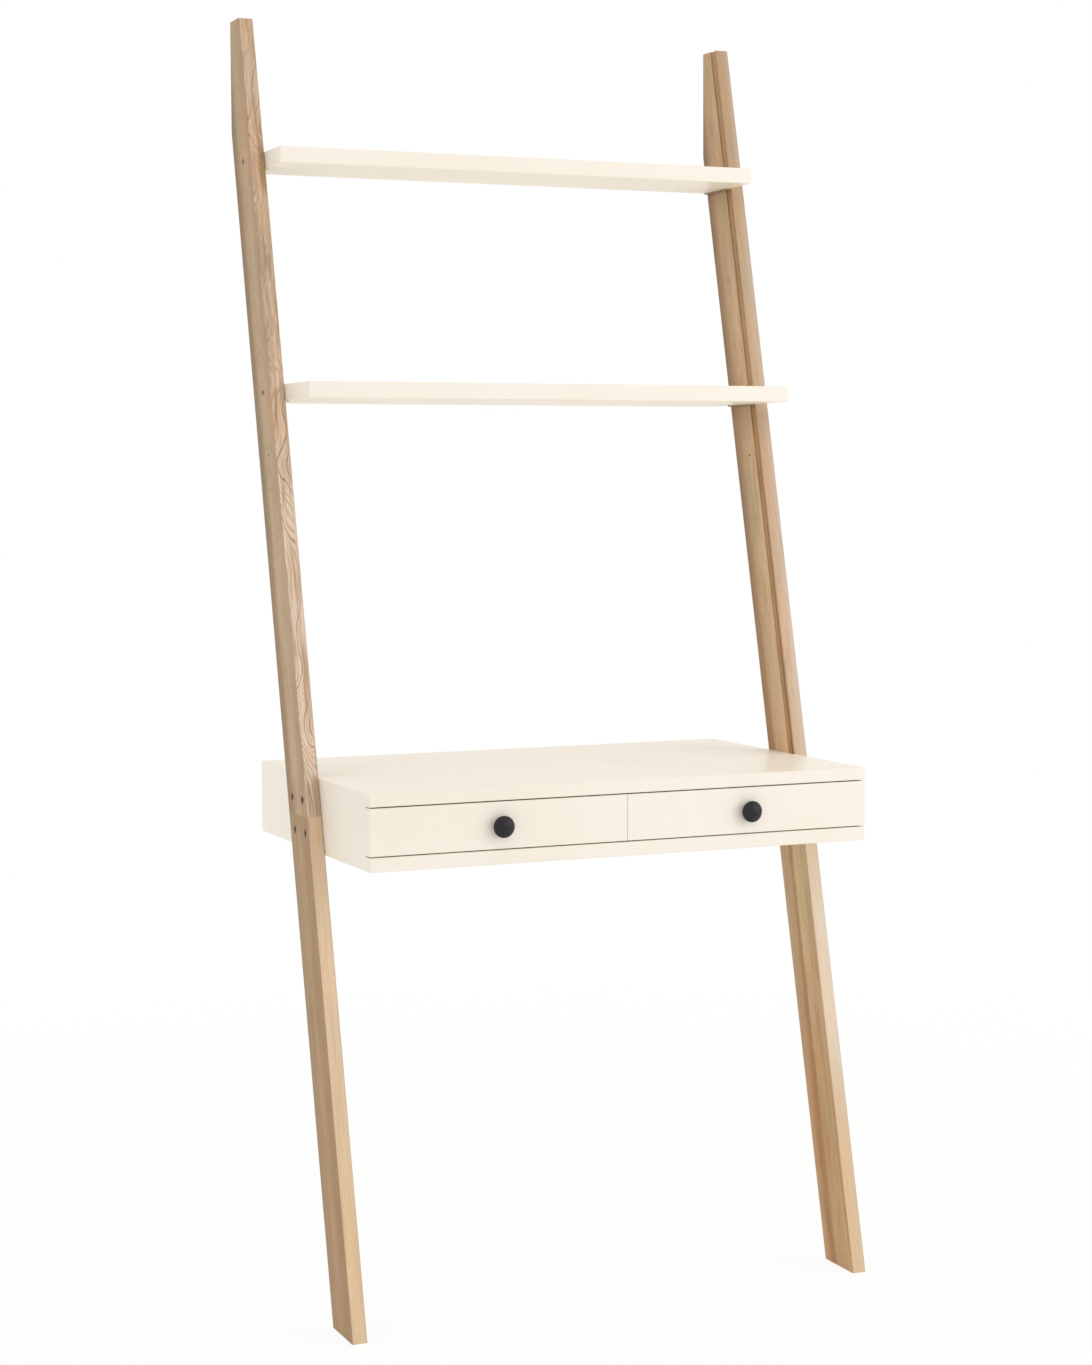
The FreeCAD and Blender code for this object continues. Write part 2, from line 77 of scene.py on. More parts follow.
CAMERA_PLACE = (-1.5522, -3.53828, 1.17363)
CAMERA_YAW = -0.40991
CAMERA_PITCH = -0.07572
CAMERA_ROLL = -0.00522
FOCAL_PIXELS = 2614.69
PHOTO_HEIGHT_PIXELS = 1365.0
SENSOR = 36.0


def add_camera():
    """The camera at the photograph's viewing angle."""
    ahead = Vector((-math.sin(CAMERA_YAW), math.cos(CAMERA_YAW), 0.0))
    aside = Vector((math.cos(CAMERA_YAW), math.sin(CAMERA_YAW), 0.0))
    up = Vector((0.0, 0.0, 1.0))
    look = ahead * math.cos(CAMERA_PITCH) + up * math.sin(CAMERA_PITCH)
    top = up * math.cos(CAMERA_PITCH) - ahead * math.sin(CAMERA_PITCH)
    x_axis = aside * math.cos(CAMERA_ROLL) + top * math.sin(CAMERA_ROLL)
    y_axis = top * math.cos(CAMERA_ROLL) - aside * math.sin(CAMERA_ROLL)
    data = bpy.data.cameras.new("camera")
    data.sensor_fit = "VERTICAL"
    data.sensor_height = SENSOR
    data.sensor_width = SENSOR
    data.lens = FOCAL_PIXELS / PHOTO_HEIGHT_PIXELS * SENSOR
    data.clip_start = 0.05
    data.clip_end = 100.0
    camera = bpy.data.objects.new("camera", data)
    turn = Matrix((x_axis, y_axis, -look)).transposed().to_4x4()
    camera.matrix_world = Matrix.Translation(CAMERA_PLACE) @ turn
    bpy.context.scene.collection.objects.link(camera)
    bpy.context.scene.camera = camera


# Node materials

class Tree:
    """A material and short calls that add nodes to it. A call that makes a value returns its socket."""

    def __init__(self, name):
        self.material = bpy.data.materials.new(name)
        self.material.use_nodes = True
        self.nodes = self.material.node_tree.nodes
        self.links = self.material.node_tree.links
        self.nodes.clear()
        self.shader = self.nodes.new("ShaderNodeBsdfPrincipled")
        self.output = self.nodes.new("ShaderNodeOutputMaterial")
        self.links.new(self.shader.outputs["BSDF"], self.output.inputs["Surface"])

    def put(self, socket, value):
        """Links a socket, or sets it to a constant; a colour of three numbers gets its alpha."""
        if isinstance(value, bpy.types.NodeSocket):
            self.links.new(value, socket)
        elif hasattr(socket.default_value, "__len__") and len(socket.default_value) == 4 and len(value) == 3:
            socket.default_value = (*value, 1.0)
        else:
            socket.default_value = value

    def math(self, operation, *values):
        """A Math node's result."""
        node = self.nodes.new("ShaderNodeMath")
        node.operation = operation
        for socket, value in zip(node.inputs, values):
            self.put(socket, value)
        return node.outputs[0]

    def product(self, first, *others):
        """The product of any number of values."""
        for other in others:
            first = self.math("MULTIPLY", first, other)
        return first

    def centred(self, noise):
        """A noise less its mean."""
        return self.math("SUBTRACT", noise, 0.5)

    def remainder(self, share):
        """What a share leaves of 1."""
        return self.math("SUBTRACT", 1.0, share)

    def length(self, x, y):
        """The length of a flat vector."""
        return self.math("SQRT", self.math("ADD", self.product(x, x), self.product(y, y)))

    def span(self, value, low, high, to_low=0.0, to_high=1.0):
        """A value moved from one range to another, and held at the ends of that."""
        node = self.nodes.new("ShaderNodeMapRange")
        for socket, item in zip(node.inputs, (value, low, high, to_low, to_high)):
            self.put(socket, item)
        return node.outputs[0]

    def between(self, share, pair):
        """A value that goes from the first of a pair to the second as a share goes from 0 to 1."""
        return self.span(share, 0.0, 1.0, *pair)

    def within(self, value, edges):
        """1 between a rising and a falling edge, each a pair of places, and 0 outside them."""
        rise, fall = edges
        return self.product(self.span(value, *rise), self.span(value, *fall))

    def mix(self, factor, first, second, blend="MIX"):
        """Two colours mixed by a factor."""
        node = self.nodes.new("ShaderNodeMix")
        node.data_type = "RGBA"
        node.blend_type = blend
        self.put(node.inputs[0], factor)
        self.put(node.inputs[6], first)
        self.put(node.inputs[7], second)
        return node.outputs[2]

    def tinted(self, color, tint):
        """A colour multiplied by another."""
        return self.mix(1.0, color, tint, "MULTIPLY")

    def noise(self, vector, scale, detail, roughness=0.5, distortion=0.0):
        """A noise around a half."""
        node = self.nodes.new("ShaderNodeTexNoise")
        self.put(node.inputs["Vector"], vector)
        node.inputs["Scale"].default_value = scale
        node.inputs["Detail"].default_value = detail
        node.inputs["Roughness"].default_value = roughness
        node.inputs["Distortion"].default_value = distortion
        return node.outputs[0]

    def ramp(self, value, stops):
        """A colour ramp; its stops are pairs of place and colour, in rising order."""
        node = self.nodes.new("ShaderNodeValToRGB")
        elements = node.color_ramp.elements
        while len(elements) < len(stops):
            elements.new(0.5)
        for element, (place, color) in zip(elements, stops):
            element.position = place
            element.color = (*color, 1.0)
        self.put(node.inputs[0], value)
        return node.outputs[0]

    def ramps(self, share, value, pair):
        """Two ramps over one value, the second as far as a share says."""
        return self.mix(share, *[self.ramp(value, stops) for stops in pair])

    def coordinates(self):
        """The object's own coordinates, in metres."""
        return self.nodes.new("ShaderNodeTexCoord").outputs["Object"]

    def normal(self):
        """The surface's direction, in the object's own axes."""
        return self.nodes.new("ShaderNodeTexCoord").outputs["Normal"]

    def split(self, vector):
        """A vector's three parts."""
        node = self.nodes.new("ShaderNodeSeparateXYZ")
        self.put(node.inputs[0], vector)
        return node.outputs

    def join(self, x, y, z):
        """A vector from three parts."""
        node = self.nodes.new("ShaderNodeCombineXYZ")
        for socket, value in zip(node.inputs, (x, y, z)):
            self.put(socket, value)
        return node.outputs[0]

    def scaled(self, vector, scale):
        """A vector with each part scaled."""
        node = self.nodes.new("ShaderNodeMapping")
        self.put(node.inputs["Vector"], vector)
        node.inputs["Scale"].default_value = scale
        return node.outputs[0]

    def bump(self, height, strength, distance):
        """Gives the shader a relief."""
        node = self.nodes.new("ShaderNodeBump")
        node.inputs["Strength"].default_value = strength
        node.inputs["Distance"].default_value = distance
        self.put(node.inputs["Height"], height)
        self.put(self.shader.inputs["Normal"], node.outputs[0])

    def finish(self, color, roughness, metallic=0.0, **extra):
        """Sets the shader, with any further sockets by name, and returns the material."""
        self.put(self.shader.inputs["Base Color"], color)
        self.put(self.shader.inputs["Roughness"], roughness)
        self.shader.inputs["Metallic"].default_value = metallic
        for name, value in extra.items():
            self.shader.inputs[name.replace("_", " ")].default_value = value
        return self.material


PLAIN = (1.0, 1.0, 1.0)
LACQUER_COLORS = ((0.885, 0.822, 0.732), (0.910, 0.852, 0.768))
LACQUER_SPECK = (0.70, 0.62, 0.50)
# Painted light: a tint by which way a face looks, lighter and warmer on faces that look down, a trace warmer
# on those that look up
LACQUER_PAINTED_FACING_LIGHT = ((0.05, (1.055, 1.040, 0.975)), (0.25, PLAIN), (0.75, PLAIN), (0.95, (1.0, 0.995, 0.965)))


def lacquer():
    """Satin ivory lacquer: a trace of cloudiness and the fine orange peel of a sprayed coat.

    Faces that look down are painted a trace lighter, and both they and those that look up a trace warmer:
    painted light by which way a face looks."""
    tree = Tree("cream_lacquer")
    place = tree.coordinates()
    cloud = tree.noise(place, 6.0, 3.0)
    color = tree.mix(tree.span(cloud, 0.35, 0.65), *LACQUER_COLORS)
    facing_up = tree.span(tree.split(tree.normal())[2], -1.0, 1.0)
    # Painted light by facing, laid over the lacquer's colour
    color = tree.tinted(color, tree.ramp(facing_up, LACQUER_PAINTED_FACING_LIGHT))
    speck = tree.noise(place, 900.0, 2.0)
    color = tree.mix(tree.span(speck, 0.68, 0.74, 0.0, 0.10), color, LACQUER_SPECK)
    peel = tree.noise(place, 520.0, 2.0, 0.45)
    tree.bump(peel, 0.10, 0.0004)
    gloss = tree.span(tree.noise(place, 24.0, 3.0), 0.3, 0.7, 0.36, 0.46)
    return tree.finish(color, gloss, Coat_Weight=0.15, Coat_Roughness=0.25)


# Ash. The narrow faces of a rail are its front and back edges, and the wide ones its sides.

# Noises in a rail: scales outward, deep and along, then detail, roughness and distortion
RAIL_NOISES = {
    "ripple": ((40.0, 9.0, 14.0), 2.0, 0.5, 0.0),
    "bulge": ((60.0, 5.0, 4.5), 1.0, 0.5, 0.6),
    "streak": ((0.0, 95.0, 2.4), 3.0, 0.6, 0.0),
    "figure": ((190.0, 60.0, 11.0), 3.0, 0.6, 0.5),
    "blotch": ((90.0, 30.0, 7.0), 2.0, 0.55, 0.4),
    "fleck": ((260.0, 150.0, 26.0), 1.0, 0.5, 0.0),
}

# Half the width, in x, of the change from the left-hand rail's looks to the right-hand one's
MIDDLE_BLEND = 0.1
# How squarely a face must look along x to count as wide, and along z to count as an end
WIDE_FACING = (0.45, 0.85)
END_FACING = (0.75, 0.90)
# How dark a growth ring's wood is, from its start to the next ring's
RING_STOPS = tuple((place, (dark, dark, dark)) for place, dark in
                   ((0.0, 0.30), (0.12, 1.0), (0.34, 0.78), (0.58, 0.15), (0.78, 0.0), (1.0, 0.30)))
FAINTEST_RING = 0.25
FIGURE_STOPS = ((0.34, (0.64, 0.54, 0.43)), (0.48, PLAIN), (0.66, (1.11, 1.14, 1.20)))
# How far the streaks bend the bands of a wide face, as a share of its depth
BAND_WARP = 0.10
# Between these heights the bands draw together
FAN_HEIGHTS = (0.2, 0.6)
# How much of the figure the wide faces show, and how much of the narrow ones' blotches and ring lines
WIDE_FIGURE = 0.35
WIDE_BLOTCH = 0.3
WIDE_LINES = 0.04
# Between these heights the ring lines grow a little fainter
UPPER_HEIGHTS = (1.25, 1.55)
UPPER_LINES = 0.88
FIBRE_SHOWN = 0.16
PORE_SHOWN = 0.40
FLECK_SHOWN = 0.55
END_GRAIN_SHOWN = 0.35

# Where the shaded areas begin and end: distances outward and deep in metres, shares of the depth
INNER_HALF = (0.001, -0.004)
OUTER_FACE = (0.006, 0.008)
INNER_FACE = (-0.006, -0.0075)
GROOVE = ((0.0055, 0.0075), (0.0145, 0.0125))
MIDDLE_BAND = ((0.28, 0.38), (0.74, 0.64))
BACK_LINE = ((0.74, 0.80), (0.90, 0.84))

RailPlace = namedtuple("RailPlace", "x z along deep outward left shift")


def rail_place(tree, seed):
    """Where a point lies in a rail: along it, deep behind its front edge, and outward from its middle.

    Left is 1 on the left-hand rail and 0 on the other, and shift keeps their noises apart."""
    x, y, z = tree.split(tree.coordinates())
    along = tree.math("ADD", tree.product(z, RAIL_COS), tree.product(y, RAIL_SIN))
    deep = tree.math("SUBTRACT", tree.product(tree.math("SUBTRACT", y, FOOT_FRONT_Y), RAIL_COS),
                     tree.product(z, RAIL_SIN))
    outward = tree.math("SUBTRACT", tree.math("ABSOLUTE", x), RAIL_MIDDLE_X)
    left = tree.span(x, MIDDLE_BLEND, -MIDDLE_BLEND)
    shift = tree.product(tree.math("SIGN", x), seed)
    return RailPlace(x, z, along, deep, outward, left, shift)


def rail_noise(tree, place, kind):
    """One of the rail's noises."""
    scales, detail, roughness, distortion = RAIL_NOISES[kind]
    point = tree.join(tree.math("MULTIPLY_ADD", place.outward, scales[0], place.shift),
                      tree.product(place.deep, scales[1]), tree.product(place.along, scales[2]))
    return tree.noise(point, 1.0, detail, roughness, distortion)


def thin_noise(tree, place, thinness, scale, detail, roughness=0.5):
    """A noise in thin lines along the rail."""
    point = tree.join(tree.product(place.x, thinness), tree.product(place.deep, thinness), place.along)
    return tree.noise(point, scale, detail, roughness)


def growth_rings(tree, place, looks):
    """How much of the darker, porous wood of a growth ring shows at a point."""
    wave = tree.noise(tree.join(place.shift, 0.0, place.along), looks["wave"], 1.0)
    sway = tree.product(tree.centred(wave), tree.between(place.left, looks["sway"]))
    bend = tree.math("ADD", tree.product(tree.centred(rail_noise(tree, place, "ripple")), looks["ripple"]),
                     tree.product(tree.centred(rail_noise(tree, place, "bulge")), looks["bulge"]))
    from_pith_x = tree.math("ADD", tree.math("ADD", place.outward, looks["pith"]), sway)
    from_pith_y = tree.math("SUBTRACT", place.deep, RAIL_DEPTH / 2)
    radius = tree.length(from_pith_x, from_pith_y)
    ring = tree.math("DIVIDE", tree.math("ADD", radius, bend), looks["ring"])
    white = tree.nodes.new("ShaderNodeTexWhiteNoise")
    white.noise_dimensions = "1D"
    tree.put(white.inputs["W"], tree.math("FLOOR", ring))
    early = tree.ramp(tree.math("FRACT", ring), RING_STOPS)
    return tree.product(early, tree.between(white.outputs[0], (FAINTEST_RING, 1.0)))


def band_share(tree, place, looks, streak):
    """How deep a point lies in the bands of a wide face, from 0 at the front edge to 1 at the back.

    The streaks bend the bands, and up the right-hand rail those behind fan_from draw together."""
    share = tree.math("MULTIPLY_ADD", tree.centred(streak), BAND_WARP,
                      tree.math("DIVIDE", place.deep, RAIL_DEPTH))
    beyond = tree.math("MAXIMUM", tree.math("SUBTRACT", share, looks["fan_from"]), 0.0)
    fan = tree.product(tree.span(place.z, *FAN_HEIGHTS, 0.0, looks["fan"]), tree.remainder(place.left))
    return tree.math("MULTIPLY_ADD", beyond, fan, share)


def wood_color(tree, place, looks, side, streak, share):
    """The wood without its ring lines: broad tones, streaks, figure, clouds and blotches."""
    height = tree.math("DIVIDE", place.z, DESK_HEIGHT)
    across = tree.span(place.outward, -RAIL_THICKNESS / 2, RAIL_THICKNESS / 2)
    narrow = tree.tinted(tree.ramps(place.left, height, looks["narrow"]),
                         tree.ramps(place.left, across, looks["across"]))
    wide = tree.tinted(tree.mix(place.left, *looks["wide"]), tree.ramps(place.left, share, looks["bands"]))
    wide = tree.mix(tree.span(streak, 0.42, 0.70, 0.0, looks["streak"]), wide, looks["stain"])
    color = tree.mix(side, narrow, wide)
    figure = tree.ramp(rail_noise(tree, place, "figure"), FIGURE_STOPS)
    shown = tree.between(side, (tree.between(place.left, looks["figure"]), WIDE_FIGURE))
    color = tree.mix(shown, color, tree.tinted(color, figure))
    cloud = tree.noise(tree.join(tree.math("MULTIPLY_ADD", place.x, 6.0, looks["seed"]),
                                 tree.product(place.deep, 8.0), tree.product(place.along, 2.2)), 2.6, 2.0)
    color = tree.tinted(color, tree.ramp(cloud, looks["cloud"]))
    color = tree.tinted(color, tree.ramps(place.left, height, looks["rise"]))
    blotch = tree.product(tree.span(rail_noise(tree, place, "blotch"), 0.48, 0.66),
                          tree.between(place.left, looks["blotch"]), tree.between(side, (1.0, WIDE_BLOTCH)))
    return tree.mix(blotch, color, looks["stain"])


def shaded_area(tree, area, place, side, share):
    """1 on one part of the rails' surface and 0 elsewhere.

    left_front is the inner half of the left-hand rail's narrow faces, left_margins its outer face but for a
    band up the middle, and right the whole right-hand rail; right_groove and right_back_line are strips of
    that rail's inner face."""
    if area == "left_front":
        return tree.product(place.left, tree.remainder(side), tree.span(place.outward, *INNER_HALF))
    if area == "left_margins":
        margins = tree.remainder(tree.within(share, MIDDLE_BAND))
        return tree.product(place.left, side, tree.span(place.outward, *OUTER_FACE), margins)
    right = tree.remainder(place.left)
    if area == "right":
        return right
    inner = tree.product(right, side, tree.span(place.outward, *INNER_FACE))
    if area == "right_groove":
        return tree.product(inner, tree.within(place.deep, GROOVE))
    if area == "right_back_line":
        return tree.product(inner, tree.within(share, BACK_LINE))
    raise ValueError(area)


def ash(name, looks, tones_and_painted_shade):
    """Ring-porous ash: lively lines on a rail's narrow faces, quiet long bands on its wide ones."""
    tree = Tree(name)
    place = rail_place(tree, looks["seed"])
    normal = tree.split(tree.normal())
    side = tree.span(tree.math("ABSOLUTE", normal[0]), *WIDE_FACING)
    end = tree.span(tree.math("ABSOLUTE", normal[2]), *END_FACING)
    streak = rail_noise(tree, place, "streak")
    share = band_share(tree, place, looks, streak)
    color = wood_color(tree, place, looks, side, streak, share)

    fibre = thin_noise(tree, place, 42.0, 22.0, 4.0, 0.6)
    color = tree.mix(tree.span(fibre, 0.35, 0.70, 0.0, FIBRE_SHOWN), color, looks["line"])
    early = growth_rings(tree, place, looks)
    lines = tree.product(early, tree.between(place.left, looks["lines"]),
                         tree.span(place.z, *UPPER_HEIGHTS, 1.0, UPPER_LINES),
                         tree.between(side, (1.0, WIDE_LINES)))
    color = tree.mix(lines, color, looks["line"])
    pore = thin_noise(tree, place, 40.0, 60.0, 1.0)
    pore = tree.product(tree.span(pore, 0.58, 0.66), tree.span(early, 0.15, 0.7, 0.10, 1.0))
    color = tree.mix(tree.product(pore, PORE_SHOWN), color, looks["pore"])
    fleck = tree.span(rail_noise(tree, place, "fleck"), 0.76, 0.82, 0.0, FLECK_SHOWN)
    color = tree.mix(fleck, color, looks["pore"])
    color = tree.mix(tree.product(end, END_GRAIN_SHOWN), color, looks["line"])

    # Lays the table's wood tones and painted shadows and shade over the wood
    for area, low, high, blur, amount, tint in tones_and_painted_shade:
        ends = ((low - blur, low + blur), (high + blur, high - blur))
        inside = tree.product(shaded_area(tree, area, place, side, share), amount,
                              tree.within(place.z, ends))
        color = tree.mix(inside, color, tint)

    relief = tree.math("ADD", tree.product(early, -0.6), tree.product(pore, -0.8))
    tree.bump(tree.math("MULTIPLY_ADD", fibre, 0.35, relief), 0.30, 0.0003)
    return tree.finish(color, tree.between(early, (0.50, 0.62)))


# What the upper rails and the lower legs look like. A ramp's stops are places and colours. An entry marked
# with a star is a pair, for the right-hand rail and the left-hand one.
#   seed      offset of the noises
#   narrow *  colour of the narrow faces, over the desk's height
#   across *  tone of the narrow faces, from the inner side to the outer
#   wide *    colour of the wide faces
#   bands *   tone of the wide faces, from the front edge to the back; on the rails it also holds painted shade
#   rise *    tone of all faces, over the desk's height
#   cloud     slow changes of tone
#   line, pore, stain   colours of the ring lines, of the pores, and of the streaks and blotches
#   streak    how much the streaks show on the wide faces
#   figure *, blotch *, lines *   how much each shows
#   ring      width of a growth ring
#   pith      how far inside the rail's middle the rings have their centre
#   wave, sway *   how often and how far that centre swings
#   ripple, bulge   how far the rings bend
#   fan_from, fan   behind which share of the depth the right-hand rail's bands draw together, and how much
RAIL_LOOKS = {
    "seed": 3.1,
    "narrow": (
        ((0.40, (0.595, 0.450, 0.335)), (0.52, (0.588, 0.432, 0.323)), (0.68, (0.566, 0.410, 0.282))),
        ((0.41, (0.690, 0.560, 0.425)), (0.49, (0.750, 0.605, 0.455)), (0.62, (0.775, 0.612, 0.460)),
         (0.70, (0.705, 0.550, 0.410)), (0.77, (0.620, 0.468, 0.335)), (0.84, (0.670, 0.510, 0.375)),
         (0.96, (0.700, 0.535, 0.390)))),
    "across": (
        ((0.0, (0.97, 0.90, 0.80)), (0.45, (0.99, 0.96, 0.92)), (0.8, (1.04, 1.10, 1.26)),
         (1.0, (1.07, 1.16, 1.42))),
        ((0.0, (1.00, 0.98, 1.04)), (1.0, (1.01, 1.04, 1.11)))),
    "wide": ((0.540, 0.380, 0.238), (0.525, 0.388, 0.244)),
    # Painted shade in the rails' bands: the dark stops towards the back edge stand for shade on the rounded
    # back arris, and the right-hand rail's dark stop near the front for shade in its groove
    "bands": (
        ((0.0, (0.88, 0.84, 0.78)), (0.10, (0.63, 0.51, 0.38)), (0.18, (1.17, 1.11, 1.02)),
         (0.27, (1.21, 1.25, 1.25)), (0.52, (1.02, 1.01, 0.99)), (0.64, (0.96, 0.94, 0.91)),
         (0.76, (0.75, 0.66, 0.55)), (0.90, (0.54, 0.45, 0.34)), (1.0, (0.49, 0.40, 0.33))),
        ((0.0, (0.88, 0.83, 0.81)), (0.12, (0.87, 0.84, 0.81)), (0.30, (0.97, 0.96, 0.95)),
         (0.52, (0.95, 0.95, 0.94)), (0.64, (0.83, 0.80, 0.75)), (0.72, (0.69, 0.63, 0.54)),
         (0.81, (0.49, 0.44, 0.35)), (1.0, (0.50, 0.45, 0.37)))),
    "rise": (
        ((0.0, (1.08, 1.09, 1.08)), (0.51, (1.08, 1.09, 1.08)), (0.62, (1.01, 1.02, 1.01)),
         (0.777, (1.02, 1.01, 1.00)), (0.93, (0.885, 0.845, 0.795)), (1.0, (0.86, 0.86, 0.80))),
        ((0.0, (1.05, 1.04, 1.06)), (0.51, (1.05, 1.03, 1.05)), (0.62, PLAIN),
         (0.777, (0.97, 0.94, 0.91)), (0.93, (0.91, 0.88, 0.84)), (1.0, (0.90, 0.87, 0.82)))),
    "cloud": ((0.36, (1.07, 0.98, 0.89)), (0.64, (0.94, 0.98, 0.95))),
    "line": (0.330, 0.205, 0.115),
    "pore": (0.20, 0.115, 0.055),
    "stain": (0.41, 0.260, 0.142),
    "streak": 0.30,
    "figure": (0.20, 1.0),
    "blotch": (0.12, 0.42),
    "lines": (0.15, 1.0),
    "ring": 0.0040,
    "pith": 0.075,
    "wave": 6.0,
    "sway": (0.02, 0.15),
    "ripple": 0.008,
    "bulge": 0.020,
    "fan_from": 0.5,
    "fan": 0.0,
}
LEG_LOOKS = {
    "seed": 8.6,
    "narrow": (
        ((0.11, (0.735, 0.622, 0.465)), (0.17, (0.785, 0.715, 0.640)), (0.22, (0.775, 0.690, 0.590)),
         (0.27, (0.750, 0.645, 0.525)), (0.33, (0.710, 0.550, 0.385))),
        ((0.30, (0.770, 0.587, 0.407)), (0.36, (0.725, 0.515, 0.345)))),
    "across": (
        ((0.0, (0.98, 0.96, 0.93)), (0.4, PLAIN), (0.85, (0.97, 1.00, 1.04)), (1.0, (0.92, 0.99, 1.08))),
        ((0.0, (0.92, 0.94, 0.99)), (0.3, PLAIN), (1.0, (0.97, 0.97, 0.99)))),
    "wide": ((0.562, 0.413, 0.250), (0.434, 0.290, 0.148)),
    "bands": (
        ((0.0, (1.11, 1.13, 1.10)), (0.12, (1.03, 1.05, 0.99)), (0.30, (1.02, 1.04, 0.98)),
         (0.49, (1.14, 1.14, 1.07)), (0.56, (0.92, 0.82, 0.70)), (0.61, (0.73, 0.56, 0.39)),
         (0.73, (0.78, 0.60, 0.43)), (0.87, (0.95, 0.87, 0.78)), (1.0, (0.93, 0.92, 0.94))),
        ((0.0, (0.81, 0.76, 0.69)), (0.25, (0.81, 0.74, 0.64)), (0.42, (0.95, 0.92, 0.88)),
         (0.52, (1.03, 1.02, 1.00)), (0.68, (0.92, 0.90, 0.87)), (0.85, (0.81, 0.81, 0.80)),
         (1.0, (0.76, 0.80, 0.86)))),
    "rise": (
        ((0.0, (0.98, 0.85, 0.74)), (0.14, (0.97, 0.83, 0.71)), (0.285, PLAIN)),
        ((0.0, (1.00, 0.95, 0.88)), (0.14, (1.00, 0.95, 0.89)), (0.285, PLAIN))),
    "cloud": ((0.36, (1.04, 0.99, 0.94)), (0.64, (0.96, 0.99, 0.98))),
    "line": (0.420, 0.265, 0.140),
    "pore": (0.26, 0.15, 0.07),
    "stain": (0.38, 0.225, 0.110),
    "streak": 0.50,
    "figure": (0.08, 0.08),
    "blotch": (0.06, 0.14),
    "lines": (0.08, 0.10),
    "ring": 0.0040,
    "pith": 0.080,
    "wave": 2.7,
    "sway": (0.03, 0.03),
    "ripple": 0.006,
    "bulge": 0.010,
    "fan_from": 0.50,
    "fan": 1.2,
}

# Wood tones and painted shade: the area, its lowest and highest point, half the length of its soft ends, how
# much it shows, and its colour. The left_front entries beside and under the top shelf, beside the middle
# shelf and beside the desk top are painted shadows of those boards; the right entries are painted shade under
# the shelves, right_groove painted shade in the groove and right_back_line painted shade along the back edge.
# The highest left_front entry and left_margins are tones of the wood.
RAIL_TONES_AND_PAINTED_SHADE = (
    ("left_front", 1.790, 1.870, 0.040, 0.45, (0.47, 0.315, 0.170)),
    ("left_front", 1.600, 1.672, 0.012, 0.85, (0.33, 0.205, 0.088)),
    ("left_front", 1.520, 1.600, 0.020, 0.50, (0.49, 0.305, 0.150)),
    ("left_front", 1.292, 1.326, 0.006, 0.32, (0.41, 0.290, 0.160)),
    ("left_front", SPLICE_Z, 0.765, 0.003, 0.85, (0.43, 0.282, 0.178)),
    ("right", 1.255, 1.300, 0.020, 0.42, (0.33, 0.215, 0.115)),
    ("right", 1.605, 1.640, 0.018, 0.30, (0.33, 0.215, 0.115)),
    ("left_margins", 0.600, 0.900, 0.080, 0.35, (0.30, 0.200, 0.100)),
    ("right_groove", 0.500, 1.150, 0.250, 0.85, (0.24, 0.105, 0.035)),
    ("right_back_line", 0.500, 1.020, 0.120, 0.75, (0.37, 0.175, 0.065)),
)
# Painted shadow of the desk beside it, on the inner half of the left-hand leg's front just below the splice
LEG_PAINTED_SHADE = (
    ("left_front", SPLICE_Z - 0.030, SPLICE_Z, 0.008, 0.40, (0.54, 0.385, 0.205)),
)


BIRCH_STOPS = ((0.25, (0.60, 0.44, 0.27)), (0.50, (0.74, 0.58, 0.38)), (0.75, (0.80, 0.66, 0.46)))
BIRCH_FLECK = (0.50, 0.34, 0.20)


def birch():
    """Clear-coated birch for the drawer boxes, its grain along each board."""
    tree = Tree("drawer_birch")
    x, y, z = tree.split(tree.coordinates())
    facing_y = tree.span(tree.math("ABSOLUTE", tree.split(tree.normal())[1]), 0.6, 0.8)
    height = tree.product(z, 22.0)
    place = tree.mix(facing_y, tree.join(tree.product(x, 12.0), tree.product(y, 1.2), height),
                     tree.join(tree.product(x, 1.2), tree.product(y, 12.0), height))
    grain = tree.noise(place, 9.0, 4.0, 0.55, 0.4)
    flecks = tree.noise(tree.scaled(place, (5.0, 5.0, 2.7)), 10.0, 2.0)
    color = tree.ramp(grain, BIRCH_STOPS)
    color = tree.mix(tree.span(flecks, 0.60, 0.72, 0.0, 0.35), color, BIRCH_FLECK)
    tree.bump(grain, 0.15, 0.0003)
    return tree.finish(color, tree.span(grain, 0.2, 0.8, 0.38, 0.50), Coat_Weight=0.2, Coat_Roughness=0.3)


def beech():
    """Bare pale beech with fine straight grain, for the tongues inside the rails."""
    tree = Tree("beech_tongue")
    grain = tree.noise(tree.scaled(tree.coordinates(), (30.0, 30.0, 2.0)), 12.0, 4.0)
    tree.bump(grain, 0.2, 0.0003)
    return tree.finish(tree.mix(tree.span(grain, 0.3, 0.7), (0.60, 0.42, 0.26), (0.48, 0.31, 0.18)), 0.6)


def metal(name, light, dark, roughness, metallic=1.0, scale=160.0, **extra):
    """A metal or painted surface with faint mottling and fine wear in its gloss."""
    tree = Tree(name)
    place = tree.coordinates()
    blotch = tree.noise(place, scale, 3.0)
    fine = tree.noise(place, scale * 9.0, 2.0)
    color = tree.mix(tree.span(blotch, 0.35, 0.65), dark, light)
    tree.bump(fine, 0.08, 0.0001)
    gloss = tree.span(blotch, 0.3, 0.7, roughness - 0.06, roughness + 0.08)
    return tree.finish(color, gloss, metallic, **extra)


